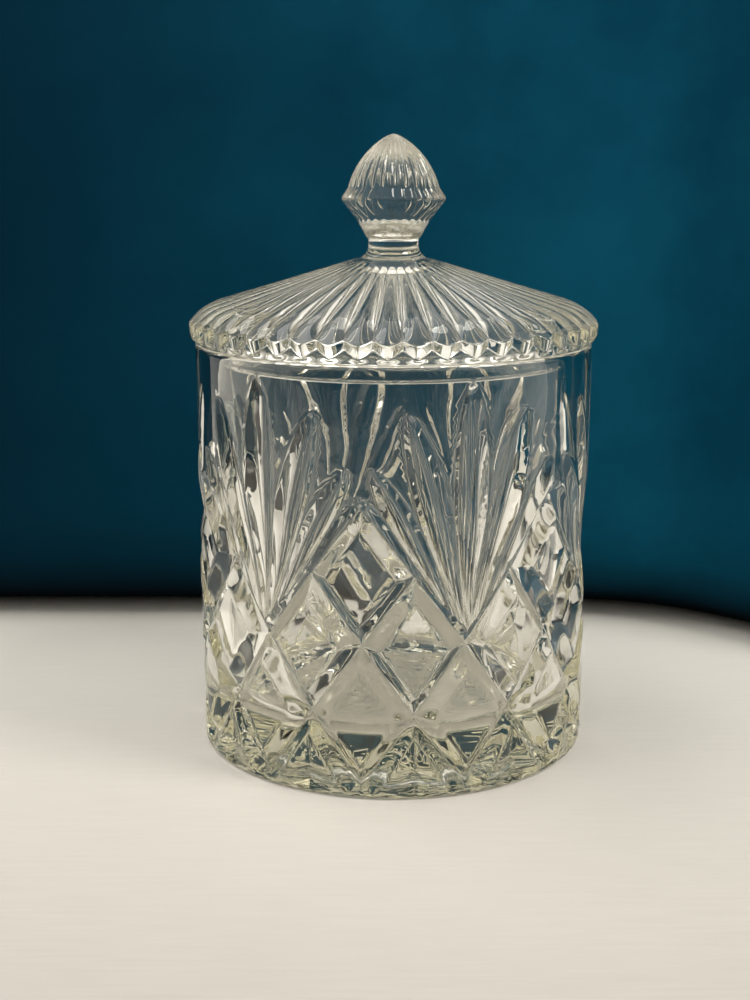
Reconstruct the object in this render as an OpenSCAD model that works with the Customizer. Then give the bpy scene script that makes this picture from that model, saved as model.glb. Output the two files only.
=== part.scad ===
// Pressed-glass candle jar with a lift-off lid, empty.
// Origin at the middle of the base, on the surface that the jar stands on. +Z is up.
// Two solids: the jar, and the lid with its knob pressed in one piece.
// Angles run counterclockwise from +X seen from above; -Y is the front.

/* [Jar] */
// Outer diameter of the jar
jar_d = 100; // [96:1:106]
// Height of the jar from its base to its rim
jar_h = 103.5; // [100:0.5:110]
// Diameter of the bore
bore_d = 88; // [84:0.5:89]
// Thickness of the floor
floor_t = 13; // [9:0.5:16]
// Radius of the rounded heel
heel_r = 2; // [1.5:0.5:4]
// Radius of the round between the bore and the floor
floor_round = 4; // [3:0.5:6]
// Radius of the rounded lip
lip_r = 1.2; // [0.8:0.1:1.6]
// Radius of the shallow recess under the base
recess_r = 37; // [32:1:40]
// Depth of the recess under the base
recess_t = 0.8; // [0.5:0.1:1.2]

/* [Cut pattern] */
// Angle of the first fan's middle
fan_angle = -69.5; // [-90:0.5:-30]
// Height of the lowest row of crossings
row_z = 3; // [2.5:0.5:4]
// Height from one row of crossings to the next
row_pitch = 17.1; // [16.5:0.1:17.5]
// Depth of the diamond cuts
cut_t = 3.2; // [2:0.1:3.4]
// Depth of the leaf cuts at the fan's base
leaf_t = 2.6; // [1.8:0.1:3]
// Depth of the leaf cuts at their tips
leaf_tip_t = 1; // [0.8:0.1:1.4]

/* [Lid] */
// Outer diameter over the reed ends
lid_d = 102.8; // [102:0.2:108]
// Number of reeds
reeds = 48; // [36:6:54]
// Depth of the valleys between the reeds at the edge
reed_t = 2.4; // [1.6:0.1:2.8]
// Height of the reed ends' shoulder over the rim of the jar
shoulder_h = 4.7; // [4:0.1:5.5]
// Height of the neck's foot over the rim of the jar
dome_h = 21; // [19:0.5:23]
// Gap between the lid's locating ring and the bore, on the radius
ring_gap = 0.8; // [0.5:0.1:1.2]
// Width of the locating ring
ring_w = 3.6; // [3:0.1:5]
// How far the locating ring reaches into the jar
ring_h = 4.9; // [3:0.1:6]
// Thickness of the glass under the reeds
lid_t = 6.5; // [5:0.1:7.5]

/* [Knob] */
// Diameter of the neck under the knob
neck_d = 12.5; // [11:0.5:14]
// Diameter of the knob's girdle
girdle_d = 25.9; // [23:0.1:28]
// Height of the neck's top over the rim of the jar
neck_h = 25; // [24:0.5:27]
// Height of the girdle over the rim of the jar
girdle_h = 34.3; // [33:0.1:36]
// Height of the knob's tip over the rim of the jar
tip_h = 50.4; // [48:0.1:53]
// Number of ribs on the knob's dome
knob_ribs = 24; // [16:2:30]
// Depth of the valleys between the knob's ribs
knob_rib_t = 0.5; // [0.3:0.05:0.7]

/* [Hidden] */
$fn = 96;

glass = [0.80, 0.83, 0.80, 0.55];
lid_glass = [0.72, 0.76, 0.76, 0.55];

fans = 6;
wall_r = jar_d / 2;
bore_r = bore_d / 2;
leaf_turns = [0, 17.5, 26.5];
leaf_tip_z = [99, 92.3, 79.3];
leaf_root = 0.2;
leaf_end = 0.93;
lean_step = 0.2;
bands = 4;

column = 360 / (2 * fans);
reed_step = 360 / reeds;
edge_r = lid_d / 2;
flange_r = wall_r + 0.4;
flange_round = 1.2;
flange_top = [edge_r - 2.3, shoulder_h - 1.2];
slope_r = 43.6;
slope_h = 9.7;
collar_r = 10;
collar_h = dome_h - 0.8;
collar_root = [collar_r - 1, dome_h - 3];
reed_edge = [edge_r - 0.1, shoulder_h];
reed_round = [edge_r - 2.4, shoulder_h + 2.5];
reed_foot = [edge_r - 4, flange_round + 0.2];
slope_top = [collar_r + 3.5, dome_h - 2.2];
valley_open = 8;
valley_past = 3;
valley_high = [collar_r + 1, 0, jar_h + dome_h - 1];
valley_low = [edge_r - 1, 0, jar_h + shoulder_h + 2.6 - reed_t];
notch_open = 4;
ring_round = 1;
hollow_top = [neck_d / 2, dome_h - lid_t - 1];
collar_foot = [collar_r, collar_h - 0.7];
cone_top = [girdle_d / 2 - 0.2, girdle_h - 0.6];
rib_foot_r = girdle_d / 2 - 0.6;
rib_span = 0.35;
heel_cut_low = -1;
heel_cut_high = row_pitch - 4;
heel_cut_t = [cut_t - 1, 1];

// Points of a round: centre, radius, first and last angle
function arc(x, z, r, from, to, steps = 8) =
    [for (i = [0:steps]) let (a = from + (to - from) * i / steps) [x + r * cos(a), z + r * sin(a)]];

// Point on the wall at a turn and height, set in by a depth
function on_wall(turn, z, depth) =
    [(wall_r - depth) * cos(turn), (wall_r - depth) * sin(turn), z];

// Height of the row of crossings with this number, counted from the heel
function row(i) = row_z + i * row_pitch;

// Height over the rim of the knob's dome at a radius
function knob_dome(r) = let (rest = tip_h - girdle_h) girdle_h + rest * (1 - pow(r / (girdle_d / 2), 1.75));

// Straight V cut with its keel between two points, opening away from the axis
module v_cut(from, to, past = 0.6, opening = 7, half_angle = 45) {
    middle = (from + to) / 2;
    turn = atan2(middle[1], middle[0]);
    run = to - from;
    out = run[0] * cos(turn) + run[1] * sin(turn);
    along = -run[0] * sin(turn) + run[1] * cos(turn);
    half_mouth = opening * tan(half_angle);
    translate(middle)
        rotate([atan2(-along, run[2]), 0, turn])
            rotate([0, asin(out / norm(run)), 0])
                linear_extrude(height = norm(run) + 2 * past, center = true)
                    polygon([[0, 0], [opening, -half_mouth], [opening, half_mouth]]);
}

// One edge of the diamond lattice, from a crossing in one row to a crossing in the next.
// Cuts that lean back are a little shallower, so that keels never meet in one point.
module lattice_cut(turn, low_row, lean) {
    depth = cut_t - (lean > 0 ? 0 : lean_step);
    v_cut(on_wall(turn, row(low_row), depth),
        on_wall(turn + lean * column / 2, row(low_row + 1), depth), 0.8);
}

// All the edges of one band that lean one way. The top band rises only between the fans
module lattice_band(band, lean) {
    top = band == bands - 1;
    shift = (band % 2) / 2 + (top && lean < 0 ? 1 : 0);
    for (i = [0:2 * fans - 1])
        if (!top || i % 2 == 0)
            lattice_cut(fan_angle + (i + shift) * column, band, lean);
}

// The upright cuts in the triangles over the heel
module heel_cuts() {
    for (i = [0:2 * fans - 1]) {
        turn = fan_angle + (i + 0.5) * column;
        v_cut(on_wall(turn, row(0) + heel_cut_low, heel_cut_t[0]),
            on_wall(turn, row(0) + heel_cut_high, heel_cut_t[1]), 0);
    }
}

// One leaf of every fan: a straight cut that grows shallower towards the leaf's tip
module leaf_cuts(leaf, side) {
    lean = side * leaf_turns[leaf];
    rise = leaf_tip_z[leaf] - row(2);
    for (i = [0:fans - 1]) {
        turn = fan_angle + 2 * i * column;
        v_cut(on_wall(turn + lean * leaf_root, row(2) + rise * leaf_root, leaf_t),
            on_wall(turn + lean * leaf_end, row(2) + rise * leaf_end, leaf_tip_t), 0);
    }
}

// The families of cuts. No two cuts in one family touch
module cut_family(n) {
    side = n % 2 * 2 - 1;
    if (n < 2 * bands) lattice_band(floor(n / 2), side);
    else if (n == 2 * bands) heel_cuts();
    else leaf_cuts(floor((n - 2 * bands) / 2), side);
}

// The blank with its cuts made one family after another
module cut_jar(last_family) {
    if (last_family < 0) jar_blank();
    else difference() {
        cut_jar(last_family - 1);
        cut_family(last_family);
    }
}

module jar_blank() {
    rotate_extrude()
        polygon(concat(
            [[0, recess_t], [recess_r, recess_t], [recess_r + 2 * recess_t, 0]],
            arc(wall_r - heel_r, heel_r, heel_r, -90, 0),
            arc(wall_r - lip_r, jar_h - lip_r, lip_r, 0, 90),
            arc(bore_r + lip_r, jar_h - lip_r, lip_r, 90, 180),
            arc(bore_r - floor_round, floor_t + floor_round, floor_round, 0, -90),
            [[0, floor_t]]));
}

module jar() {
    color(glass) cut_jar(2 * bands + 5);
}

// The plain part of the lid: the ring, the flange and the glass under the reeds
module lid_blank() {
    ring_r = bore_r - ring_gap;
    hollow_r = ring_r - ring_w;
    translate([0, 0, jar_h])
        rotate_extrude()
            polygon(concat(
                [[0, hollow_top[1]], hollow_top, [hollow_r - ring_round, slope_h - lid_t]],
                arc(hollow_r + ring_round, ring_round - ring_h, ring_round, 180, 270, 4),
                arc(ring_r - ring_round, ring_round - ring_h, ring_round, 270, 360, 4),
                [[ring_r, 0], [flange_r - flange_round / 2, 0]],
                arc(flange_r - flange_round / 2, flange_round, flange_round, -90, 20, 6),
                [flange_top, [slope_r - 1, slope_h - reed_t], collar_foot, [collar_r, collar_h]],
                knob_outline()));
}

// The outline of the neck and knob, from the collar up to the tip
function knob_outline() = concat(
    arc(collar_r, dome_h + 3.2, collar_r - neck_d / 2, -90, -180, 8),
    [[neck_d / 2, neck_h], cone_top],
    [for (i = [0:9]) let (r = girdle_d / 2 * (1 - i / 10)) [r, knob_dome(r)]],
    [[0, tip_h]]);

// The reeds: a shell over the flange, cut by radial valleys and notched between its ends
module reed_shell() {
    difference() {
        translate([0, 0, jar_h])
            rotate_extrude()
                polygon([collar_root, reed_foot, [edge_r, flange_round], reed_edge, reed_round,
                    [slope_r, slope_h], slope_top, [collar_root[0], collar_h]]);
        for (i = [0:reeds - 1])
            rotate([0, 0, fan_angle + (i + 0.5) * reed_step]) {
                reed_valley();
                reed_notch();
            }
    }
}

// The valley between two reeds, rising out of the glass at the collar
module reed_valley() {
    run = valley_low - valley_high;
    translate((valley_high + valley_low) / 2)
        rotate([0, atan2(run[0], run[2]), 0])
            linear_extrude(height = norm(run) + 2 * valley_past, center = true)
                polygon([[0, 0], [-valley_open, -valley_open], [-valley_open, valley_open]]);
}

// The upright notch between two reed ends
module reed_notch() {
    translate([reed_round[0], 0, jar_h])
        linear_extrude(height = dome_h)
            polygon([[0, 0], [notch_open, -notch_open], [notch_open, notch_open]]);
}

// The fine valleys between the ribs of the knob's dome
module knob_valleys() {
    for (i = [0:knob_ribs - 1])
        rotate([0, 0, (i + 0.5) * 360 / knob_ribs])
            for (step = [0:1]) {
                r0 = rib_foot_r * (1 - rib_span * step);
                r1 = rib_foot_r * (1 - rib_span * (step + 1));
                v_cut([r0 - knob_rib_t, 0, jar_h + knob_dome(r0)],
                    [r1 - knob_rib_t, 0, jar_h + knob_dome(r1)], 0.1, 3);
            }
}

module lid() {
    color(lid_glass) {
        difference() {
            lid_blank();
            knob_valleys();
        }
        reed_shell();
    }
}

jar();
lid();
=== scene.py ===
import math

import bmesh
import bpy
import numpy as np
from mathutils.geometry import delaunay_2d_cdt
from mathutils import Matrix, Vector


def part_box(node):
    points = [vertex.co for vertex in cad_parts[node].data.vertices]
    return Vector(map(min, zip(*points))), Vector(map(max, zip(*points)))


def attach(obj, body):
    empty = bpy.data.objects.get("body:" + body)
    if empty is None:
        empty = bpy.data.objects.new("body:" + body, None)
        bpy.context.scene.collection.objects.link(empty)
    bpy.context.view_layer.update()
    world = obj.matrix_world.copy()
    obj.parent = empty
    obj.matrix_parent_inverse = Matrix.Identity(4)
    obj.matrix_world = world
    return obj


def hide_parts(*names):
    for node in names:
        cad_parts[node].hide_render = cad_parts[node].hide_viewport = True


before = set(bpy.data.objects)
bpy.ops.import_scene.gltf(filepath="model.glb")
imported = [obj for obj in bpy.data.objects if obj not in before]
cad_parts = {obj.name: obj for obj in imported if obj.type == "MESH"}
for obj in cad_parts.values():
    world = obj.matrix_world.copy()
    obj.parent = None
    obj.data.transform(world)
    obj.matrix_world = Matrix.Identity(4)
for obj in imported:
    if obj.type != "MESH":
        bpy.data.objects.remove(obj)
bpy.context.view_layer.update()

# All lengths are in metres, in the part's own frame: +Z is up and -Y is the front.
MM = 0.001
jar_low, jar_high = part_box("jar")
lid_low, lid_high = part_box("lid")

# ---- The jar's driving sizes
RADIUS = (jar_high.x - jar_low.x) / 2
RIM_Z = jar_high.z
BORE = 0.88 * RADIUS
FLOOR_Z = 13.0 * MM
HEEL = 1.5 * MM
LIP = 1.2 * MM
FLOOR_ROUND = 8.0 * MM
SEAT_GAP = 0.06 * MM
RECESS_RADIUS = 37.0 * MM
RECESS_DEPTH = 0.8 * MM
MIDDLE = 0.6 * MM
BORE_RINGS = 56

# ---- The jar's cut pattern: six fans, repeated and mirrored from one wedge
FANS = 6
FAN_TURN = math.radians(-69.5)
WEDGE = math.pi / FANS
SIDE = RADIUS * WEDGE
ROW_Z = 2.5 * MM
ROW_PITCH = 17.4 * MM
ARCH_Z = 70.8 * MM
CUT_DEPTH = 3.1 * MM
CUT_RUN_OUT = 9.0 * MM
CUT_END = 0.62
LEAF_SLOPE = 1.25
LEAF_FLOOR_SLOPE = 0.4
LEAF_FLOOR_DEPTH = 1.6 * MM
LEAF_WIDEST = 0.62
LEAF_START = 0.30
# Each leaf: its turn in degrees, the height of its tip, and half its width.
LEAVES = ((0.0, 1.985 * RADIUS, 4.35 * MM),
          (17.2, 1.85 * RADIUS, 4.05 * MM),
          (26.5, 1.59 * RADIUS, 3.45 * MM))
HEEL_CUT_DEPTH = 3.0 * MM
HEEL_CUT_SLOPE = 0.35
HEEL_CUT_FOOT = -2.0 * MM
BASE_BAND = 0.6 * MM
BASE_FADE = 6.0 * MM
BASE_FADE_CURVE = 0.7
KEEL_ROUND = 0.30 * MM
LEAF_KEEL_ROUND = 0.9 * MM
EDGE_ROUND = 0.60 * MM
SINK = 0.15
SINK_BLUR = 2.4 * MM

# ---- The slow waves of the bore: each one's size, its turns round and up, and its start
BORE_WAVE = 0.03 * MM
BORE_WAVES = ((1.0, 5, 2.0, 0.0), (0.7, 9, -3.0, 1.0), (0.5, 14, 5.0, 2.0))
SWELL_START = 2 * MM
SWELL_GROWTH = 8 * MM
SWELL_RIM_FADE = 6 * MM
SWELL_RIM_PLAIN = 0.3

# ---- The lid's driving sizes, with heights measured from the jar's rim
EDGE_RADIUS = (lid_high.x - lid_low.x) / 2
TIP_HEIGHT = lid_high.z - RIM_Z
REEDS = 48
COLLAR_RADIUS = 10.0 * MM
SLOPE_START = (13.5 * MM, 18.8 * MM)
SLOPE_FALL = 0.302
REED_DEPTH = 1.7 * MM
REED_BULGE = 0.97
REED_START = 1.4 * MM
REED_GROWTH = 0.75
REED_SOFT_START = 0.06
REED_END_ROUND = 1.6 * MM
SHOULDER_REACH = 6.5 * MM
SHOULDER_DROP = 2.7 * MM
SHOULDER_CURVE = 2.2
VALLEY_DROP = 0.8 * MM
TOOTH_FOOT = 1.2 * MM
TOOTH_RISE = 2.7 * MM
TOOTH_SOFTNESS = 0.16
TOOTH_INSET = 0.1 * MM
TOOTH_BULGE = 0.26 * MM
FLANGE_INSET = 0.5 * MM
FLANGE_ROUND = 0.45 * MM
FLANGE_SWELL = 0.3
FLANGE_SLOPE = 0.5
FLANGE_TAPER = 1.35 * MM
RING_RADIUS = BORE - 0.8 * MM
RING_WIDTH = 3.6 * MM
RING_DEPTH = RIM_Z - lid_low.z
RING_ROUND = 1.0 * MM
RING_SIDE_START = 1.2 * MM
SEAT_ROUND = 0.4 * MM
HOLLOW_HEIGHT = 13.4 * MM
HOLLOW_TOP = 9.0 * MM
HOLLOW_FALL = 0.357
HOLLOW_ROUND = 5.0 * MM
NECK_RADIUS = 6.25 * MM
NECK_TOP = 24.9 * MM
CONE_STEP = (0.45 * MM, 0.35 * MM)
CONE_SAG = 0.35 * MM
CONE_RINGS = 12
CONE_RIBS = 0.35
GIRDLE_RADIUS = 12.95 * MM
GIRDLE_HEIGHT = 34.8 * MM
GIRDLE_INSET = 0.1 * MM
GIRDLE_HALF = 0.45 * MM
GIRDLE_RIBS = 0.8
DOME_RADIUS = 11.6 * MM
DOME_FLARE = 1.25 * MM
DOME_FLARE_LENGTH = 0.06
KNOB_RIBS = 28
RIB_DEPTH = 0.5 * MM
RIB_FADE_RADIUS = 3.5 * MM


def row(number):
    """Height of a row of crossings, counted from the heel."""
    return ROW_Z + number * ROW_PITCH


# ---- The jar's wall, as a radius over the place along the wall and the height

def smooth_min(a, b, width):
    """The smaller of two values, rounded over a width where they meet."""
    overlap = np.maximum(width - np.abs(a - b), 0.0) / width
    return np.minimum(a, b) - overlap * overlap * width / 4


class Cut:
    """A straight V cut from a start to an end on the unrolled wall, which may open in two slopes."""

    def __init__(self, start, end, half_width, slope, floor_slope=None):
        self.start = np.array(start)
        self.run = np.array(end) - self.start
        self.length = float(np.hypot(*self.run))
        self.along = self.run / self.length
        self.across = np.array((-self.along[1], self.along[0]))
        self.half_width = half_width
        self.slope = slope
        self.floor_slope = floor_slope

    def radius(self, s, height):
        ds = s - self.start[0]
        dz = height - self.start[1]
        way = np.clip((ds * self.along[0] + dz * self.along[1]) / self.length, 0.0, 1.0)
        aside = np.hypot(ds - way * self.run[0], dz - way * self.run[1])
        if self.floor_slope is None:
            from_edge = np.hypot(aside, KEEL_ROUND) - KEEL_ROUND - self.half_width(way)
            return RADIUS + self.slope * from_edge
        from_edge = np.hypot(aside, LEAF_KEEL_ROUND) - np.hypot(self.half_width(way), LEAF_KEEL_ROUND)
        flank = RADIUS + self.slope * from_edge
        floor = RADIUS - LEAF_FLOOR_DEPTH + self.floor_slope * from_edge
        return -smooth_min(-flank, -floor, EDGE_ROUND)


def steady(way):
    """A cut of one width from end to end."""
    return CUT_DEPTH + 0.0 * way


def run_out(way):
    """A cut that grows narrower towards its end, where two of them make an arch."""
    length = math.hypot(SIDE, ARCH_Z - row(2))
    left = np.clip((1 - way) * length / CUT_RUN_OUT, 0.0, 1.0)
    return CUT_DEPTH * (CUT_END + (1 - CUT_END) * np.sqrt(np.maximum(1 - (1 - left) ** 2, 0.0)))


def leaf_width(widest):
    """A leaf's half width: narrow at the fan's base, rounded at its tip."""
    def width(way):
        swell = LEAF_START + (1 - LEAF_START) * np.sin(0.5 * np.pi * np.minimum(way / LEAF_WIDEST, 1.0))
        past = np.clip((way - LEAF_WIDEST) / (1 - LEAF_WIDEST), 0.0, 1.0)
        return widest * swell * np.sqrt(np.maximum(1 - past ** 2, 0.0))
    return width


def leaf(turn_degrees, tip_height, widest):
    """One leaf of a fan, from the fan's foot to its tip."""
    tip = (RADIUS * math.radians(turn_degrees), tip_height)
    return Cut((0.0, row(2)), tip, leaf_width(widest), LEAF_SLOPE, LEAF_FLOOR_SLOPE)


def heel_width(way):
    """A cut that opens from a point down to the heel."""
    return HEEL_CUT_DEPTH * way / HEEL_CUT_SLOPE


CUTS = [
    Cut((0.0, row(2)), (SIDE, ARCH_Z), run_out, 1.0),
    Cut((SIDE, row(0)), (0.0, row(2)), steady, 1.0),
    Cut((0.0, row(0)), (SIDE, row(2)), steady, 1.0),
    Cut((SIDE, row(2)), (SIDE / 2, (row(2) + ARCH_Z) / 2), steady, 1.0),
    *(leaf(*sizes) for sizes in LEAVES),
    Cut((SIDE / 2, row(1)), (SIDE / 2, HEEL_CUT_FOOT), heel_width, HEEL_CUT_SLOPE),
]


def all_radii(s, height):
    """The plain wall's radius, then each cut's, at the same places."""
    return np.stack([RADIUS + 0.0 * s] + [cut.radius(s, height) for cut in CUTS])


def folded(s):
    """The place in the first wedge that looks like this one."""
    s = np.mod(s, 2 * SIDE)
    return np.minimum(s, 2 * SIDE - s)


def wall_radius(s, height):
    """The radius of the cut wall, anywhere round it."""
    radii = all_radii(folded(s), height)
    radius = radii[0]
    for other in radii[1:]:
        radius = smooth_min(radius, other, EDGE_ROUND)
    return radius


def wall_point(s, climb):
    """A point of the outer wall. The climb follows the heel's round, then equals the height."""
    bend = np.clip((HEEL - climb) / HEEL, 0.0, np.pi / 2)
    blank = RADIUS - HEEL + HEEL * np.cos(bend)
    height = np.where(bend > 0, HEEL - HEEL * np.sin(bend), climb)
    fade = np.clip((climb - BASE_BAND) / BASE_FADE, 0.0, 1.0) ** BASE_FADE_CURVE
    radius = blank - fade * (RADIUS - wall_radius(s, climb))
    turn = s / RADIUS
    return np.stack([radius * np.cos(turn), radius * np.sin(turn), height], axis=-1)


def wall_normal(s, climb):
    """The way that the wall faces, from points close on each side."""
    step = 0.06 * MM
    round_way = wall_point(s + step, climb) - wall_point(s - step, climb)
    upward = wall_point(s, climb + step) - wall_point(s, climb - step)
    normal = np.cross(round_way, upward)
    return normal / np.linalg.norm(normal, axis=-1, keepdims=True)


# ---- Points over one wedge, dense along the creases

CLIMB_START = HEEL - HEEL * math.pi / 2
CLIMB_END = RIM_Z - SEAT_GAP - LIP
WEDGE_COLUMNS = 24
CELL = 0.5 * MM
WEDGE_MARGIN = 0.22 * MM
CREASE_SPACING = 0.55 * MM
KEEL_GAP = 0.40 * MM
EDGE_GAP = 0.38 * MM
SIDE_SPACING = 0.9 * MM
SIDE_GAP = 0.45 * MM
BESIDE = 0.28 * MM
BESIDE_GAP = 0.25 * MM
FIELD_PITCH = 1.14 * MM
FIELD_LEVEL = 0.866
FIELD_GAP = 0.58 * MM
FIELD_FOOT = 0.5 * MM
FIELD_SIDE = 0.3 * MM
# How finely and how far a cut's flank is followed, in millimetres.
TRACE_STEP = 0.05
TRACE_REACH = 8.0


class Scatter:
    """Points kept apart from each other. Those added first win."""

    def __init__(self, cell):
        self.cell = cell
        self.points = []
        self.cells = {}

    def add(self, points, gap):
        reach = int(math.ceil(gap / self.cell))
        for s, climb in points:
            column = int(math.floor(s / self.cell))
            level = int(math.floor(climb / self.cell))
            near = (self.cells.get((column + i, level + j), ())
                    for i in range(-reach, reach + 1) for j in range(-reach, reach + 1))
            if all(math.hypot(s - a, climb - b) >= gap for group in near for a, b in group):
                self.cells.setdefault((column, level), []).append((s, climb))
                self.points.append((s, climb))


def inside_wedge(points, margin):
    """Points within the wedge, with those close to its sides moved onto them."""
    points = points[(points[:, 0] > -margin) & (points[:, 0] < SIDE + margin)]
    points = points[(points[:, 1] > CLIMB_START + margin) & (points[:, 1] < CLIMB_END - margin)]
    points[:, 0] = np.where(points[:, 0] < margin, 0.0, points[:, 0])
    points[:, 0] = np.where(points[:, 0] > SIDE - margin, SIDE, points[:, 0])
    return points


def crease_points(number, spacing, offset):
    """Points along a cut's keel, and along the line where its walls end."""
    cut = CUTS[number]
    stations = np.linspace(0.0, cut.length, int(cut.length / spacing) + 1)
    keel = cut.start + stations[:, None] * cut.along
    reach = np.arange(TRACE_STEP, TRACE_REACH, TRACE_STEP) * MM
    keels, edges, beside = [], [], []
    for side in (-1, 1):
        s = keel[:, :1] + side * reach * cut.across[0]
        climb = keel[:, 1:] + side * reach * cut.across[1]
        lowest = np.argmin(all_radii(folded(s), climb), axis=0)
        lost = lowest != number + 1
        first = np.argmax(lost, axis=1)
        open_keel = first > 1
        width = reach[first] - TRACE_STEP / 2 * MM
        step = side * cut.across
        keels.append(keel[open_keel])
        beside.append((keel + step * offset)[open_keel])
        edges.append((keel + step * width[:, None])[open_keel])
        beside.append((keel + step * (width[:, None] - offset))[open_keel])
        beside.append((keel + step * (width[:, None] + offset))[open_keel])
        if cut.floor_slope is not None:
            bend = cut.half_width(stations / cut.length) - LEAF_FLOOR_DEPTH / (cut.slope - cut.floor_slope)
            open_bend = open_keel & (bend > offset) & (bend < width)
            edges.append((keel + step * bend[:, None])[open_bend])
            beside.append((keel + step * (bend[:, None] - offset))[open_bend])
            beside.append((keel + step * (bend[:, None] + offset))[open_bend])
    return np.vstack(keels), np.vstack(edges), np.vstack(beside)


def wedge_points():
    """Points along the wedge's ends, creases and sides, then a plain field between them."""
    scatter = Scatter(CELL)
    columns = np.linspace(0.0, SIDE, WEDGE_COLUMNS + 1)
    for climb in (CLIMB_START, CLIMB_END):
        scatter.add([(s, climb) for s in columns], 0.0)
    creases = [crease_points(number, CREASE_SPACING, BESIDE) for number in range(len(CUTS))]
    for kind, gap in ((0, KEEL_GAP), (1, EDGE_GAP)):
        for crease in creases:
            scatter.add(inside_wedge(crease[kind], WEDGE_MARGIN), gap)
    climbs = np.arange(CLIMB_START, CLIMB_END, SIDE_SPACING)
    for s in (0.0, SIDE):
        scatter.add([(s, climb) for climb in climbs], SIDE_GAP)
    for crease in creases:
        scatter.add(inside_wedge(crease[2], WEDGE_MARGIN), BESIDE_GAP)
    levels = np.arange(CLIMB_START + FIELD_FOOT, CLIMB_END, FIELD_PITCH * FIELD_LEVEL)
    for level, climb in enumerate(levels):
        start = FIELD_PITCH / 2 if level % 2 else FIELD_PITCH
        between = [(s, climb) for s in np.arange(start, SIDE - FIELD_SIDE, FIELD_PITCH)]
        scatter.add(between, FIELD_GAP)
    return np.array(scatter.points)


def wedge_mesh():
    """The wedge's points, flat, and the triangles between them."""
    points = wedge_points()
    corners = delaunay_2d_cdt([tuple(point / MM) for point in points], [], [], 0, 1e-5)
    flat = np.array([tuple(point) for point in corners[0]]) * MM
    faces = np.array([face for face in corners[2] if len(face) == 3])
    a, b, c = (flat[faces[:, i]] for i in range(3))
    area = (b[:, 0] - a[:, 0]) * (c[:, 1] - a[:, 1]) - (b[:, 1] - a[:, 1]) * (c[:, 0] - a[:, 0])
    faces = faces[np.abs(area) > 1e-12]
    area = area[np.abs(area) > 1e-12]
    faces[area < 0] = faces[area < 0][:, ::-1]
    return flat, faces


# ---- Turned surfaces

def turned(outline, turns):
    """Rings of points round the axis, one for each point of an outline."""
    return np.array([np.stack([radius * np.cos(turns), radius * np.sin(turns), height + 0.0 * turns], axis=-1)
                     for radius, height in outline])


def ring_faces(rings, columns, first=0):
    """Four-sided faces between neighbouring rings of points."""
    here = np.arange(columns)
    after = (here + 1) % columns
    faces = []
    for ring in range(rings - 1):
        low = first + ring * columns
        high = low + columns
        faces += np.stack([low + here, low + after, high + after, high + here], axis=1).tolist()
    return faces


def arc(centre, radius, start, end, steps):
    """Points of a round, between two angles in degrees."""
    angles = np.radians(np.linspace(start, end, steps + 1))
    return [(centre[0] + radius * math.cos(a), centre[1] + radius * math.sin(a)) for a in angles]


def line(start, end, steps):
    """Points of a straight line."""
    return [(start[0] + (end[0] - start[0]) * i / steps, start[1] + (end[1] - start[1]) * i / steps)
            for i in range(steps + 1)]


def mesh_object(name, vertices, faces):
    """A new object in the scene, from points and faces."""
    mesh = bpy.data.meshes.new(name)
    mesh.from_pydata(vertices.tolist() if hasattr(vertices, "tolist") else vertices, [], faces)
    mesh.validate()
    piece = bpy.data.objects.new(name, mesh)
    bpy.context.scene.collection.objects.link(piece)
    return piece


def weld(piece, distance):
    """Joins points that lie together, turns every face outwards and shades it smooth."""
    work = bmesh.new()
    work.from_mesh(piece.data)
    bmesh.ops.remove_doubles(work, verts=work.verts, dist=distance)
    bmesh.ops.recalc_face_normals(work, faces=work.faces)
    work.to_mesh(piece.data)
    work.free()
    piece.data.polygons.foreach_set("use_smooth", [True] * len(piece.data.polygons))


# ---- The jar

def bore_swell(turns, heights):
    """The unevenness of a pressed bore: it sinks a little where the wall is thick, and waves slowly."""
    across, upward = np.meshgrid((turns - FAN_TURN) * RADIUS, heights)
    relief = wall_radius(across, upward) - RADIUS
    for axis, step in ((0, abs(heights[1] - heights[0])), (1, (turns[1] - turns[0]) * RADIUS)):
        reach = int(3 * SINK_BLUR / step) + 1
        weights = np.exp(-0.5 * (np.arange(-reach, reach + 1) * step / SINK_BLUR) ** 2)
        shifts = zip(range(-reach, reach + 1), weights / weights.sum())
        if axis == 1:
            relief = sum(weight * np.roll(relief, shift, axis=1) for shift, weight in shifts)
        else:
            rows = np.arange(len(heights))
            relief = sum(weight * relief[np.clip(rows + shift, 0, len(rows) - 1)] for shift, weight in shifts)
    up = upward / RIM_Z * 2 * np.pi
    turn = across / RADIUS
    wave = sum(size * np.sin(around * turn + rises * up + start) for size, around, rises, start in BORE_WAVES)
    over_floor = np.clip((heights - FLOOR_Z - SWELL_START) / SWELL_GROWTH, 0.0, 1.0)
    under_rim = np.clip((RIM_Z - heights) / SWELL_RIM_FADE - SWELL_RIM_PLAIN, 0, 1)
    return (SINK * relief + BORE_WAVE * wave) * (over_floor * under_rim)[:, None]


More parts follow.
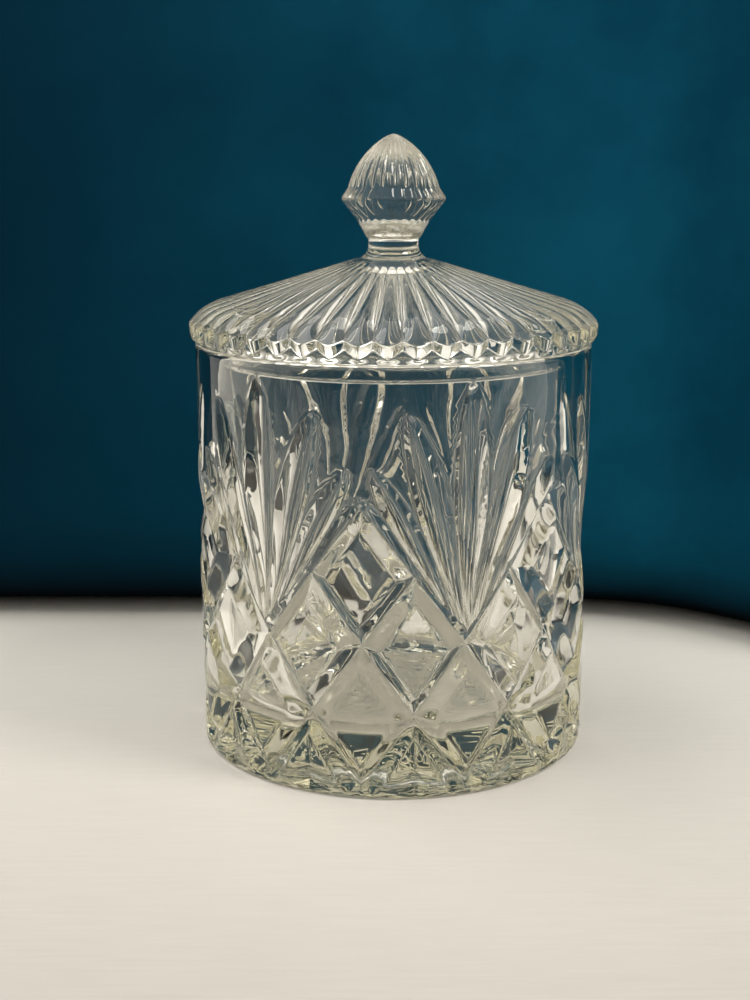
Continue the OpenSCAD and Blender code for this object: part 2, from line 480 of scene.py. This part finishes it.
def jar_piece():
    """The whole jar: twelve mirrored wedges of wall, the base, the lip and the bore, welded."""
    flat, triangles = wedge_mesh()
    vertices = []
    faces = []
    for fan in range(FANS):
        for mirror in (1, -1):
            local = wall_point(flat[:, 0], flat[:, 1])
            turn = FAN_TURN + fan * 2 * WEDGE
            x = local[:, 0] * math.cos(turn) - mirror * local[:, 1] * math.sin(turn)
            y = local[:, 0] * math.sin(turn) + mirror * local[:, 1] * math.cos(turn)
            first = len(flat) * len(vertices)
            faces += (triangles[:, ::mirror] + first).tolist()
            vertices.append(np.stack([x, y, local[:, 2]], axis=-1))
    columns = 2 * FANS * WEDGE_COLUMNS
    turns = FAN_TURN + 2 * np.pi * np.arange(columns) / columns
    base = line((RADIUS - HEEL, 0.0), (RECESS_RADIUS + 2 * RECESS_DEPTH, 0.0), 3)
    base += line(base[-1], (RECESS_RADIUS, RECESS_DEPTH), 2)[1:]
    base += line(base[-1], (MIDDLE, RECESS_DEPTH), 6)[1:]
    lip = arc((RADIUS - LIP, CLIMB_END), LIP, 0, 90, 6)
    lip += arc((BORE + LIP, CLIMB_END), LIP, 90, 180, 6)
    bore = line(lip[-1], (BORE, FLOOR_Z + 2 * MM), BORE_RINGS)[1:]
    bore = [(radius, height) for radius, height in bore if height > FLOOR_Z + FLOOR_ROUND]
    bore += arc((BORE - FLOOR_ROUND, FLOOR_Z + FLOOR_ROUND), FLOOR_ROUND, 0, -90, 10)
    bore += line(bore[-1], (MIDDLE, FLOOR_Z), 10)[1:]
    count = sum(len(part) for part in vertices)
    inside = turned(lip + bore, turns)
    swell = bore_swell(turns, np.array([height for radius, height in bore]))
    inside[len(lip):, :, 0] += swell * np.cos(turns)
    inside[len(lip):, :, 1] += swell * np.sin(turns)
    for rings in (turned(base, turns), inside):
        faces += ring_faces(len(rings), columns, count)
        faces.append(list(range(count + (len(rings) - 1) * columns, count + len(rings) * columns)))
        vertices.append(rings.reshape(-1, 3))
        count += len(rings) * columns
    piece = mesh_object("jar_glass_body", np.vstack(vertices), faces)
    weld(piece, 2e-6)
    shade_wall(piece)
    return piece


def shade_wall(piece):
    """Normals from the wall's own shape, so that the cuts' flats stay flat."""
    mesh = piece.data
    places = np.empty(len(mesh.vertices) * 3)
    normals = np.empty(len(mesh.vertices) * 3)
    mesh.vertices.foreach_get("co", places)
    mesh.vertices.foreach_get("normal", normals)
    places = places.reshape(-1, 3)
    normals = normals.reshape(-1, 3)
    radius = np.hypot(places[:, 0], places[:, 1])
    height = places[:, 2]
    wall = (radius > BORE + 1.0 * MM) & (height > 0.3 * MM) & (height < CLIMB_END - 0.1 * MM)
    turn = np.arctan2(places[wall, 1], places[wall, 0])
    bend = np.arcsin(np.clip((HEEL - height[wall]) / HEEL, 0.0, 1.0))
    climb = np.where(bend > 0, HEEL - HEEL * bend, height[wall])
    local = wall_normal((turn - FAN_TURN) * RADIUS, climb)
    x = local[:, 0] * math.cos(FAN_TURN) - local[:, 1] * math.sin(FAN_TURN)
    y = local[:, 0] * math.sin(FAN_TURN) + local[:, 1] * math.cos(FAN_TURN)
    normals[wall] = np.stack([x, y, local[:, 2]], axis=-1)
    mesh.normals_split_custom_set_from_vertices(normals.tolist())


# ---- The lid

HALF_REED = (0.0, 0.3, 0.55, 0.76, 0.91, 1.0)


def reed_hollow(x):
    """How far a reed's surface lies under its crest, from 0 at the crest to 1 in the valley."""
    return (1 - np.sqrt(1 - REED_BULGE * x * x)) / (1 - math.sqrt(1 - REED_BULGE))


def crest_height(radius):
    """Height of a reed's crest on the sloping part of the lid."""
    return SLOPE_START[1] - SLOPE_FALL * (radius - SLOPE_START[0])


def shoulder_height(radius, x, end):
    """Height of a reed's surface at a place across it, with the fall towards its end."""
    past = max((radius - end + SHOULDER_REACH) / SHOULDER_REACH, 0.0)
    grown = max((radius - COLLAR_RADIUS - REED_START) / (EDGE_RADIUS - COLLAR_RADIUS), 0.0)
    depth = REED_DEPTH * grown ** REED_GROWTH * (1 - math.exp(-grown / REED_SOFT_START))
    drop = SHOULDER_DROP + (VALLEY_DROP - SHOULDER_DROP) * x * x
    return crest_height(radius) - depth * reed_hollow(x) - drop * past ** SHOULDER_CURVE


def bezier(start, pull, end, steps):
    """Points of a curve from a start to an end, drawn towards a third point."""
    points = []
    for way in np.linspace(0.0, 1.0, steps + 1):
        shares = ((1 - way) ** 2, 2 * way * (1 - way), way ** 2)
        points.append(tuple(shares[0] * start[i] + shares[1] * pull[i] + shares[2] * end[i] for i in (0, 1)))
    return points


def reed_outline(x):
    """The lid's outline from its flange up to the collar, at a place across a reed."""
    end = EDGE_RADIUS - TOOTH_INSET - REED_END_ROUND * x * x
    top = (end, shoulder_height(end, x, end))
    foot_height = TOOTH_FOOT + TOOTH_RISE * (math.hypot(x, TOOTH_SOFTNESS) - TOOTH_SOFTNESS)
    rise = foot_height - TOOTH_FOOT
    foot = (EDGE_RADIUS - FLANGE_INSET - rise * FLANGE_SLOPE, foot_height)
    bulge = ((foot[0] + top[0]) / 2 + TOOTH_BULGE, (foot[1] + top[1]) / 2)
    taper = (EDGE_RADIUS - FLANGE_TAPER, FLANGE_ROUND)
    swell_radius = EDGE_RADIUS - FLANGE_INSET - FLANGE_SWELL * FLANGE_SLOPE * rise
    swell = (swell_radius, TOOTH_FOOT * 0.6 + foot_height * 0.4)
    points = bezier(taper, swell, foot, 5)
    points += bezier(foot, bulge, top, 7)[1:]
    radii = end - SHOULDER_REACH * np.array((0.02, 0.06, 0.12, 0.2, 0.3, 0.42, 0.56, 0.72, 0.9))
    radii = np.concatenate([radii, np.linspace(end - 1.05 * SHOULDER_REACH, COLLAR_RADIUS + 0.4 * MM, 30)])
    points += [(radius, shoulder_height(radius, x, end)) for radius in radii]
    return points


def knob_outline():
    """The collar, neck, cone, girdle and dome, with how strongly the ribs show at each point."""
    collar = (COLLAR_RADIUS, crest_height(COLLAR_RADIUS))
    neck_round = COLLAR_RADIUS - NECK_RADIUS
    points = [(r, z, 0.0) for r, z in arc((COLLAR_RADIUS, collar[1] + neck_round), neck_round, -90, -180, 9)]
    points += [(r, z, 0.0) for r, z in line(points[-1][:2], (NECK_RADIUS, NECK_TOP), 2)[1:]]
    cone_foot = (NECK_RADIUS + CONE_STEP[0], NECK_TOP + CONE_STEP[1])
    cone_top = (GIRDLE_RADIUS - GIRDLE_INSET, GIRDLE_HEIGHT - GIRDLE_HALF)
    for i, (r, z) in enumerate(line(cone_foot, cone_top, CONE_RINGS)):
        sag = CONE_SAG * math.sin(math.pi * i / CONE_RINGS)
        points.append((r - sag, z, CONE_RIBS * i / CONE_RINGS))
    points.append((GIRDLE_RADIUS, GIRDLE_HEIGHT, GIRDLE_RIBS))
    points.append((GIRDLE_RADIUS - GIRDLE_INSET, GIRDLE_HEIGHT + GIRDLE_HALF, GIRDLE_RIBS))
    height = TIP_HEIGHT - GIRDLE_HEIGHT - GIRDLE_HALF
    for way in 1 - np.cos(np.linspace(0.12, 0.985, 30) * math.pi / 2):
        way = math.sqrt(way)
        body = DOME_RADIUS * (1 - way ** 1.75) ** 0.7
        flare = DOME_FLARE * math.exp(-way / DOME_FLARE_LENGTH)
        points.append((body + flare, TIP_HEIGHT - height * (1 - way), 1.0))
    return points


def under_outline():
    """The underside: the hollow, the locating ring and the flange that rests on the rim."""
    hollow = RING_RADIUS - RING_WIDTH
    points = line((MIDDLE, HOLLOW_HEIGHT), (HOLLOW_TOP, HOLLOW_HEIGHT), 4)
    corner = (hollow, HOLLOW_HEIGHT - HOLLOW_FALL * (hollow - HOLLOW_TOP))
    roof_end = (hollow - HOLLOW_ROUND, corner[1] + HOLLOW_FALL * HOLLOW_ROUND)
    points += line(points[-1], roof_end, 9)[1:]
    points += bezier(roof_end, corner, (hollow, corner[1] - HOLLOW_ROUND), 12)[1:]
    ring_foot = RING_ROUND - RING_DEPTH
    flange_end = EDGE_RADIUS - FLANGE_TAPER - FLANGE_ROUND
    points += line(points[-1], (hollow, ring_foot), 2)[1:]
    points += arc((hollow + RING_ROUND, ring_foot), RING_ROUND, 180, 270, 4)[1:]
    points += arc((RING_RADIUS - RING_ROUND, ring_foot), RING_ROUND, 270, 360, 4)
    points += line((RING_RADIUS, RING_SIDE_START - RING_DEPTH), (RING_RADIUS, -SEAT_ROUND), 3)
    points += arc((RING_RADIUS + SEAT_ROUND, -SEAT_ROUND), SEAT_ROUND, 180, 90, 3)[1:]
    points += line(points[-1], (flange_end, 0.0), 4)[1:]
    points += arc((flange_end, FLANGE_ROUND), FLANGE_ROUND, -90, -20, 4)[1:]
    return points


def reed_columns():
    """Where each column of the lid stands: its turn, and its place across its reed."""
    turns, places = [], []
    for reed in range(REEDS):
        for place in [-x for x in HALF_REED[:0:-1]] + list(HALF_REED[:-1]):
            turns.append(FAN_TURN + (reed + place / 2) * 2 * math.pi / REEDS)
            places.append(abs(place))
    return np.array(turns), np.array(places)


def rib_swell(turns, strength, radius):
    """How far the knob's surface lies in between two ribs. The ribs fade towards the tip."""
    rib = np.abs(np.sin(KNOB_RIBS / 2 * turns))
    return -RIB_DEPTH * strength * min(1.0, radius / RIB_FADE_RADIUS) * (1 - rib)


def lid_piece():
    """The whole lid as one closed turned mesh, from the hollow out, up and in to the knob's tip."""
    turns, places = reed_columns()
    columns = len(turns)
    rings = [turned([(radius, RIM_Z + height)], turns)[0] for radius, height in under_outline()]
    outlines = np.array([reed_outline(place) for place in places])
    for ring in range(outlines.shape[1]):
        radius = outlines[:, ring, 0]
        height = outlines[:, ring, 1]
        rings.append(np.stack([radius * np.cos(turns), radius * np.sin(turns), RIM_Z + height], axis=-1))
    for radius, height, strength in knob_outline():
        across = radius + rib_swell(turns, strength, radius)
        rings.append(np.stack([across * np.cos(turns), across * np.sin(turns),
                               RIM_Z + height + 0.0 * turns], axis=-1))
    vertices = np.concatenate(rings)
    faces = ring_faces(len(rings), columns)
    faces.append(list(range(columns))[::-1])
    top = (len(rings) - 1) * columns
    tip = len(vertices)
    vertices = np.vstack([vertices, (0.0, 0.0, RIM_Z + TIP_HEIGHT)])
    faces += [[top + i, top + (i + 1) % columns, tip] for i in range(columns)]
    piece = mesh_object("lid_glass_body", vertices, faces)
    weld(piece, 1e-6)
    return piece


# ---- Materials

class Wire:
    """A node's output. Arithmetic on it adds Math nodes, and node() adds any other node."""

    def __init__(self, tree, socket):
        self.tree = tree
        self.socket = socket

    def node(self, kind, settings=None, sockets=None, output=0):
        made = self.tree.nodes.new(kind)
        for name, value in (settings or {}).items():
            setattr(made, name, value)
        for name, value in (sockets or {}).items():
            if isinstance(value, Wire):
                self.tree.links.new(value.socket, made.inputs[name])
            else:
                made.inputs[name].default_value = value
        return Wire(self.tree, made.outputs[output])

    def maths(self, operation, *values):
        return self.node("ShaderNodeMath", {"operation": operation}, dict(enumerate(values)))

    def __add__(self, other):
        return self.maths("ADD", self, other)

    def __radd__(self, other):
        return self.maths("ADD", other, self)

    def __mul__(self, other):
        return self.maths("MULTIPLY", self, other)

    def __rmul__(self, other):
        return self.maths("MULTIPLY", other, self)

    def __sub__(self, other):
        return self.maths("SUBTRACT", self, other)

    def __rsub__(self, other):
        return self.maths("SUBTRACT", other, self)

    def mix(self, first, second):
        """A colour between two, by this value."""
        return self.node("ShaderNodeMix", {"data_type": "RGBA"}, {0: self, 6: first, 7: second}, 2)

    def part(self, number):
        """One coordinate of a place: 0, 1 or 2 for X, Y or Z."""
        return self.node("ShaderNodeSeparateXYZ", {}, {0: self}, number)

    def ramp(self, limits):
        """This value, stretched from its own limits to 0 and 1 or to the limits given."""
        return self.node("ShaderNodeMapRange", {}, {"Value": self, **limits})

    def noise(self, scale, detail=2.0, roughness=0.5):
        return self.node("ShaderNodeTexNoise", {}, {"Vector": self, "Scale": scale, "Detail": detail,
                                                    "Roughness": roughness})


def new_material(name):
    """An empty material, with its object coordinates and its output node."""
    material = bpy.data.materials.new(name)
    material.use_nodes = True
    tree = material.node_tree
    tree.nodes.clear()
    output = tree.nodes.new("ShaderNodeOutputMaterial")
    place = Wire(tree, None).node("ShaderNodeTexCoord", output="Object")
    return material, place, output


GLASS_TINT = (0.90, 0.87, 0.66, 1.0)
GLASS_DENSITY = 11.0
GLASS_IOR = 1.52
RIPPLE_SCALE = 190.0
SLOW_SCALE = 70.0
SMEAR_SCALE = 28.0
GRAIN_TURNS = 42.0
WAVE_DEPTH = 0.25 * MM
# The table's dark colour serves both its grain and the painted shade towards the front.
TABLE_DARK_GRAIN_AND_PAINTED_SHADE = (0.49, 0.47, 0.435, 1.0)
TABLE_PALE = (0.78, 0.76, 0.71, 1.0)
CLOTH_DARK = (0.001, 0.048, 0.092, 1.0)
CLOTH_PALE = (0.003, 0.080, 0.142, 1.0)
# Painted shade for the cloth's left side, away from the key light.
CLOTH_SIDE_PAINTED_SHADE = (0.0005, 0.019, 0.038, 1.0)
# Painted shadow for the cloth's foot, just above the table.
CLOTH_FOOT_PAINTED_SHADOW = (0.0005, 0.004, 0.007, 1.0)


def glass_material(name, inner_radius, floor_height, ground_height, ground_radius, ground_roughness):
    """Clear pressed glass: rippled inside, fire-polished outside, faintly tinted through its thickness."""
    material, place, output = new_material(name)
    flat = place.node("ShaderNodeVectorMath", {"operation": "MULTIPLY"}, {0: place, 1: (1.0, 1.0, 0.0)})
    from_axis = flat.node("ShaderNodeVectorMath", {"operation": "LENGTH"}, {0: flat}, 1)
    height = place.part(2)
    inside = from_axis.maths("LESS_THAN", from_axis, inner_radius)
    under = height.maths("LESS_THAN", height, ground_height)
    ground = under * from_axis.maths("GREATER_THAN", from_axis, ground_radius)
    low = inside * height.maths("LESS_THAN", height, floor_height)
    slow = place.noise(SLOW_SCALE, 1.0)
    fine = place.noise(RIPPLE_SCALE, 1.0) * (0.02 + 0.10 * inside)
    broad = slow * (0.15 + 0.75 * inside)
    grain = slow.maths("SINE", slow * GRAIN_TURNS) * (0.02 * inside + 0.11 * low)
    waves = fine + broad + grain
    normal = place.node("ShaderNodeBump", {}, {"Strength": 1.0, "Distance": WAVE_DEPTH, "Height": waves})
    smear = place.noise(SMEAR_SCALE, 3.0)
    roughness = 0.002 + smear * 0.006 + ground * ground_roughness
    shade = smear.mix((0.995, 0.985, 0.965, 1.0), (1.0, 1.0, 0.99, 1.0))
    shader = place.node("ShaderNodeBsdfPrincipled", {}, {
        "Base Color": shade, "Roughness": roughness, "IOR": GLASS_IOR, "Transmission Weight": 1.0,
        "Normal": normal})
    body = place.node("ShaderNodeVolumeAbsorption", {}, {"Color": GLASS_TINT, "Density": GLASS_DENSITY})
    place.tree.links.new(shader.socket, output.inputs["Surface"])
    place.tree.links.new(body.socket, output.inputs["Volume"])
    return material


def table_material():
    """A pale painted board with a faint brushed grain, and painted shade that darkens it towards the front.
    """
    material, place, output = new_material("pale_table")
    stretched = place.node("ShaderNodeMapping", {}, {"Vector": place, "Scale": (6.0, 90.0, 1.0)})
    grain = stretched.noise(9.0, 4.0)
    cloud = place.noise(3.0, 2.0)
    # Painted shade: a ramp along Y darkens the board towards the front, standing in for dimmer light there.
    front = {"From Min": -0.13, "From Max": 0.06, "To Min": -0.9}
    back = place.part(1).ramp(front)
    shade = back + grain * 0.5 + cloud * 0.5 - 0.5
    colour = (shade * 0.5 + 0.5).mix(TABLE_DARK_GRAIN_AND_PAINTED_SHADE, TABLE_PALE)
    normal = place.node("ShaderNodeBump", {}, {"Strength": 0.1, "Distance": 0.0004, "Height": grain})
    shader = place.node("ShaderNodeBsdfPrincipled", {}, {
        "Base Color": colour, "Roughness": 0.5 + grain * 0.15, "Normal": normal})
    place.tree.links.new(shader.socket, output.inputs["Surface"])
    return material


def backdrop_material():
    """A muted slate-teal cloth with a cloudy tone, painted shade that darkens it to one side and a painted
    shadow at its foot.
    """
    material, place, output = new_material("slate_backdrop")
    cloud = place.noise(14.0, 5.0, 0.62).ramp({"From Min": 0.35, "From Max": 0.65})
    # Painted shade: the cloth darkens towards its left side, away from the key light.
    side = place.part(0).ramp({"From Min": -0.14, "From Max": 0.08})
    # Painted shadow: the cloth turns near black at its foot, just above the table.
    foot = place.part(2).ramp({"From Min": 0.004, "From Max": 0.022})
    colour = side.mix(CLOTH_SIDE_PAINTED_SHADE, cloud.mix(CLOTH_DARK, CLOTH_PALE))
    colour = foot.mix(CLOTH_FOOT_PAINTED_SHADOW, colour)
    shader = place.node("ShaderNodeBsdfPrincipled", {}, {
        "Base Color": colour, "Roughness": 0.95, "Specular IOR Level": 0.05})
    place.tree.links.new(shader.socket, output.inputs["Surface"])
    return material


def finish_piece(piece, material, body, node):
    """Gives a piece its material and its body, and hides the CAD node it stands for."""
    piece.data.materials.clear()
    piece.data.materials.append(material)
    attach(piece, body)
    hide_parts(node)


# ---- The stage, light and camera

def panel(name, corners, faces, material):
    """A wide sheet of the stage."""
    piece = mesh_object(name, corners, faces)
    piece.data.polygons.foreach_set("use_smooth", [True] * len(faces))
    piece.data.materials.append(material)
    return piece


TABLE_REACH = 1.2
TABLE_FRONT = -0.34
TABLE_DROP = 0.05 * MM
CLOTH_ROUND = 0.034
CLOTH_START = 0.126
CLOTH_BACK = 0.093
CLOTH_LEAN = 0.03
CLOTH_HEIGHTS = (0.04, 0.175)
CLOTH_ENDS = (-0.185, 0.255)
CLOTH_COLUMNS = 56
# The cloth's bow towards the front: its least and added depth, its middle, and how fast it comes.
BOW = (0.005, 0.060, 0.118, 0.016)


def stage_pieces():
    """A pale table, and a padded cloth close behind the jar, curved under at its foot."""
    left, right, front, back = -TABLE_REACH, TABLE_REACH, TABLE_FRONT, TABLE_REACH
    sides = ((left, front), (right, front), (right, back), (left, back))
    panel("stage_floor", [(x, y, -TABLE_DROP) for x, y in sides], [[0, 1, 2, 3]], table_material())
    profile = [(CLOTH_START - CLOTH_ROUND * math.sin(a), CLOTH_ROUND - CLOTH_ROUND * math.cos(a))
               for a in np.linspace(0.0, 1.5, 12)]
    profile += [(CLOTH_BACK + CLOTH_LEAN * t * t, CLOTH_HEIGHTS[0] + CLOTH_HEIGHTS[1] * t)
                for t in np.linspace(0.0, 1.0, 12)]
    across = np.linspace(*CLOTH_ENDS, CLOTH_COLUMNS)
    bow = BOW[0] + BOW[1] / (1 + np.exp(-(across - BOW[2]) / BOW[3]))
    corners = [(x, y - lean, z) for y, z in profile for x, lean in zip(across, bow)]
    strips = [[CLOTH_COLUMNS * i + j, CLOTH_COLUMNS * i + j + 1,
               CLOTH_COLUMNS * (i + 1) + j + 1, CLOTH_COLUMNS * (i + 1) + j]
              for i in range(len(profile) - 1) for j in range(CLOTH_COLUMNS - 1)]
    panel("stage_backdrop", corners, strips, backdrop_material())


def soft_light(name, place, target, size, power, colour):
    """A rectangular lamp, turned towards a place."""
    lamp = bpy.data.lights.new(name, "AREA")
    lamp.shape = "RECTANGLE"
    lamp.size, lamp.size_y = size
    lamp.energy = power
    lamp.color = colour
    holder = bpy.data.objects.new(name, lamp)
    bpy.context.scene.collection.objects.link(holder)
    holder.location = place
    aim = np.array(target) - np.array(place)
    pitch = math.atan2(math.hypot(aim[0], aim[1]), -aim[2])
    holder.rotation_euler = (pitch, 0.0, math.atan2(aim[1], aim[0]) - math.pi / 2)


LIGHT_AIM = (0.0, 0.0, 0.05)
# Each light: its name, place, size, power and colour.
LIGHTS = (("key_light", (0.60, -0.30, 0.85), (0.30, 0.30), 4.6, (1.0, 0.96, 0.90)),
          ("top_light", (-0.38, 0.02, 1.0), (0.8, 0.5), 3.9, (1.0, 0.97, 0.92)))
HORIZON = (0.06, 0.058, 0.052, 1.0)
CEILING = (1.08, 1.04, 0.96, 1.0)
SENSOR = 36.0
LENS = 1.502
# The camera's place in radii of the jar, and its downward tilt.
CAMERA_PLACE = (-0.0924, -7.596, 3.017)
CAMERA_TILT = 0.2313


def studio_light():
    """Two soft lamps and a bright ceiling."""
    for name, place, size, power, colour in LIGHTS:
        soft_light(name, place, LIGHT_AIM, size, power, colour)
    room_light()


def room_light():
    """A bright ceiling that falls off towards the horizon."""
    world = bpy.data.worlds.new("room")
    bpy.context.scene.world = world
    world.use_nodes = True
    tree = world.node_tree
    way = Wire(tree, None).node("ShaderNodeTexCoord", output="Generated")
    colour = way.part(2).ramp({"From Min": 0.05, "From Max": 0.8}).mix(HORIZON, CEILING)
    tree.links.new(colour.socket, tree.nodes["Background"].inputs["Color"])


def camera():
    """In front of the jar, a little left of its middle, looking slightly down."""
    lens = bpy.data.cameras.new("camera")
    lens.sensor_width = SENSOR
    lens.lens = SENSOR * LENS
    lens.clip_start = 0.01
    holder = bpy.data.objects.new("camera", lens)
    bpy.context.scene.collection.objects.link(holder)
    holder.location = tuple(way * RADIUS for way in CAMERA_PLACE)
    holder.rotation_euler = (math.pi / 2 - CAMERA_TILT, 0.0, 0.0)
    bpy.context.scene.camera = holder


def render_quality():
    """Enough bounces for light to pass through both walls of both pieces."""
    scene = bpy.context.scene
    scene.cycles.max_bounces = 28
    scene.cycles.transmission_bounces = 28
    scene.cycles.glossy_bounces = 12
    scene.cycles.diffuse_bounces = 3
    scene.cycles.sample_clamp_indirect = 6.0
    scene.cycles.blur_glossy = 0.3
    scene.cycles.use_denoising = True
    scene.view_settings.view_transform = "Standard"


camera()
studio_light()
stage_pieces()
render_quality()
jar_glass = glass_material("jar_clear_glass", BORE + 1.5 * MM, FLOOR_Z + 1.0 * MM,
                           RECESS_DEPTH + 0.1 * MM, RECESS_RADIUS, 0.03)
lid_glass = glass_material("lid_clear_glass", 0.0, 0.0,
                           RIM_Z + 0.08 * MM, RING_RADIUS + 0.6 * MM, 0.35)
finish_piece(jar_piece(), jar_glass, "jar", "jar")
finish_piece(lid_piece(), lid_glass, "lid", "lid")
